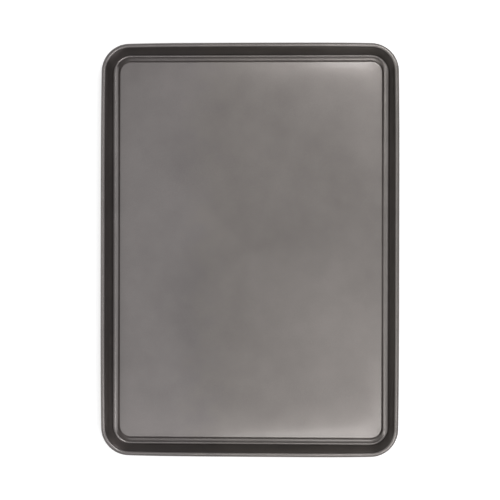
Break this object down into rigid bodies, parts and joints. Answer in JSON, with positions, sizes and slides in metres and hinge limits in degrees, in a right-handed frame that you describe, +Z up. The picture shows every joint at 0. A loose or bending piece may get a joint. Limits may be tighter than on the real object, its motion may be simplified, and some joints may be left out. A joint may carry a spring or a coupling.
{
  "type": "sheet pan",
  "caption": "Shallow rectangular baking pan of coated steel with a raised flat floor, sloping walls, rounded corners and a rim rolled over a wire.",
  "frame": {"origin": "on the surface that the pan stands on, under the middle of the pan", "axes": "+Y along the long sides, +X along the short sides, +Z up out of the open pan"},
  "size_m": [0.3302, 0.4572, 0.0254],
  "materials": {
    "nonstick_coat": "satin dark grey non-stick coating on steel, faintly mottled",
    "wire_steel": "bare drawn steel wire"
  },
  "bodies": {
    "root": {"pan_body": "nonstick_coat", "rim_wire": "wire_steel"}
  },
  "joints": []
}
